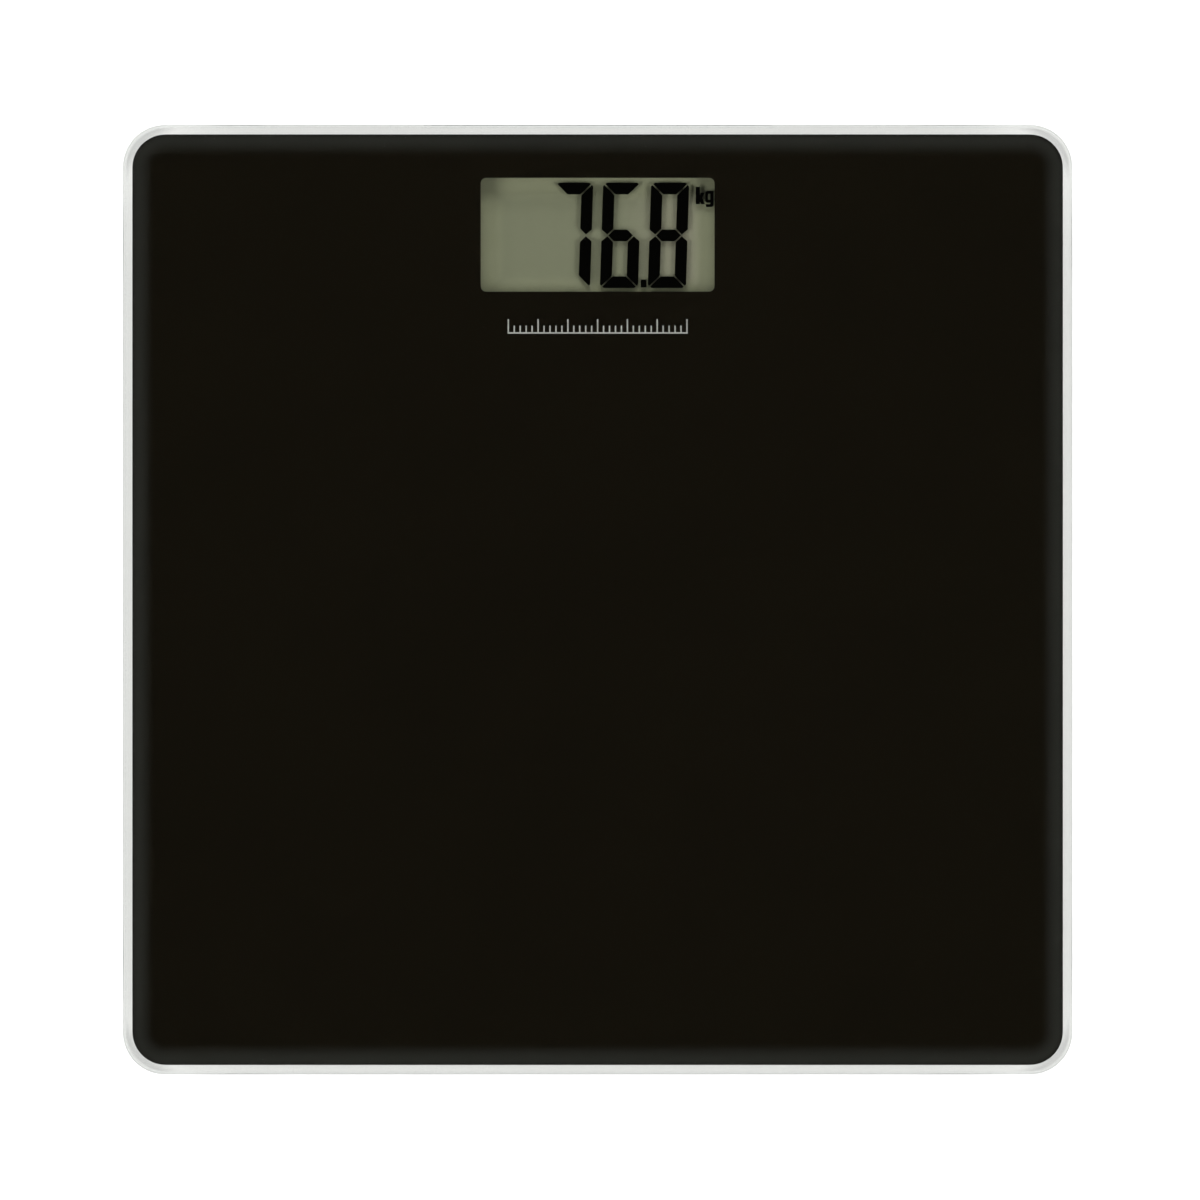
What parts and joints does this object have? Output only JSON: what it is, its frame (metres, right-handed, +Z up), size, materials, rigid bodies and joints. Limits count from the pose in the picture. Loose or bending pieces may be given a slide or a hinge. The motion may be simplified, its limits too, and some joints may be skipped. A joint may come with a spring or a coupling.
{
  "type": "digital bathroom scale",
  "caption": "Square glass bathroom scale with a black print under the glass, a display window near the rear edge and load-cell feet below.",
  "frame": {"origin": "centre of the footprint on the floor, under the middle of the glass", "axes": "+X to the right, +Y towards the rear edge with the display, +Z up"},
  "size_m": [0.3, 0.3, 0.022],
  "materials": {
    "tempered_glass": "polished, ground edge",
    "black_enamel": "black ceramic print fired under the glass",
    "silver_print": "silver printing ink",
    "polariser_film": "grey-green film",
    "display_glass": "thin clear glass",
    "segment_ink": "dark liquid crystal",
    "epoxy_seal": "hardened glue line",
    "reflector_film": "grey-green reflector",
    "zebra_rubber": "striped silicone",
    "foam_tape": "white foam",
    "black_plastic": "moulded, fine texture",
    "board_green": "solder resist",
    "gold_plate": "plated",
    "black_epoxy": "glossy epoxy drop",
    "ceramic_parts": "small ceramic and plastic parts",
    "white_plastic": "moulded",
    "nickel_steel": "nickel plated",
    "grey_plastic": "moulded",
    "sensor_steel": "stamped alloy steel",
    "pad_rubber": "moulded tread",
    "gauge_film": "amber film",
    "white_silicone": "cured silicone",
    "red_insulation": "wire insulation",
    "white_insulation": "wire insulation",
    "black_insulation": "wire insulation"
  },
  "bodies": {
    "platform": {"glass_platform": "tempered_glass", "enamel_print": "black_enamel", "print_mark": "silver_print", "lcd_front_polariser": "polariser_film", "lcd_front_glass": "display_glass", "lcd_segments": "segment_ink", "lcd_seal": "epoxy_seal", "lcd_rear_glass": "display_glass", "lcd_reflector": "reflector_film", "zebra_connector": "zebra_rubber", "display_foam": "foam_tape", "display_housing": "black_plastic", "display_tape": "foam_tape", "circuit_board": "board_green", "board_pads": "gold_plate", "chip_blob": "black_epoxy", "board_components": "ceramic_parts", "battery_holder": "white_plastic", "coin_cell": "nickel_steel", "positive_contact": "gold_plate", "negative_contact": "gold_plate", "unit_switch": "black_plastic", "housing_cover": "black_plastic", "case_screws": "nickel_steel", "board_screws": "nickel_steel", "foot_housing_front_left": "black_plastic", "foot_housing_front_right": "black_plastic", "foot_housing_rear_left": "black_plastic", "foot_housing_rear_right": "black_plastic", "load_cell_front_left": "sensor_steel", "load_cell_front_right": "sensor_steel", "load_cell_rear_left": "sensor_steel", "load_cell_rear_right": "sensor_steel", "retainer_ring_front_left": "black_plastic", "retainer_ring_front_right": "black_plastic", "retainer_ring_rear_left": "black_plastic", "retainer_ring_rear_right": "black_plastic", "retainer_screws": "nickel_steel", "strain_gauges": "gauge_film", "gauge_sealant": "white_silicone", "wires_red": "red_insulation", "wires_white": "white_insulation", "wires_black": "black_insulation", "foot_tapes": "foam_tape", "wire_ducts": "black_plastic", "duct_tapes": "foam_tape"},
    "foot_front_left": {"foot_cap_front_left": "black_plastic", "foot_pad_front_left": "pad_rubber"},
    "foot_front_right": {"foot_cap_front_right": "black_plastic", "foot_pad_front_right": "pad_rubber"},
    "foot_rear_left": {"foot_cap_rear_left": "black_plastic", "foot_pad_rear_left": "pad_rubber"},
    "foot_rear_right": {"foot_cap_rear_right": "black_plastic", "foot_pad_rear_right": "pad_rubber"},
    "unit_key": {"unit_button": "grey_plastic", "switch_plunger": "white_plastic"},
    "battery_door": {"battery_door": "black_plastic"}
  },
  "joints": [
    {"name": "rock_front_left", "type": "hinge", "parent": "platform", "child": "foot_front_left", "pos_m": [-0.114, -0.114, 0.0039], "axis": [1, 0, 0], "range_deg": [-0.8, 0.8]},
    {"name": "rock_front_right", "type": "hinge", "parent": "platform", "child": "foot_front_right", "pos_m": [0.114, -0.114, 0.0039], "axis": [1, 0, 0], "range_deg": [-0.8, 0.8]},
    {"name": "rock_rear_left", "type": "hinge", "parent": "platform", "child": "foot_rear_left", "pos_m": [-0.114, 0.114, 0.0039], "axis": [1, 0, 0], "range_deg": [-0.8, 0.8]},
    {"name": "rock_rear_right", "type": "hinge", "parent": "platform", "child": "foot_rear_right", "pos_m": [0.114, 0.114, 0.0039], "axis": [1, 0, 0], "range_deg": [-0.8, 0.8]},
    {"name": "unit_key_press", "type": "slide", "parent": "platform", "child": "unit_key", "axis": [0, 0, 1], "range_m": [0, 0.00035], "stiffness_N_per_m": 4000},
    {"name": "battery_door_hinge", "type": "hinge", "parent": "platform", "child": "battery_door", "pos_m": [-0.022, 0.1265, 0.0054], "axis": [1, 0, 0], "range_deg": [0, 90]}
  ]
}
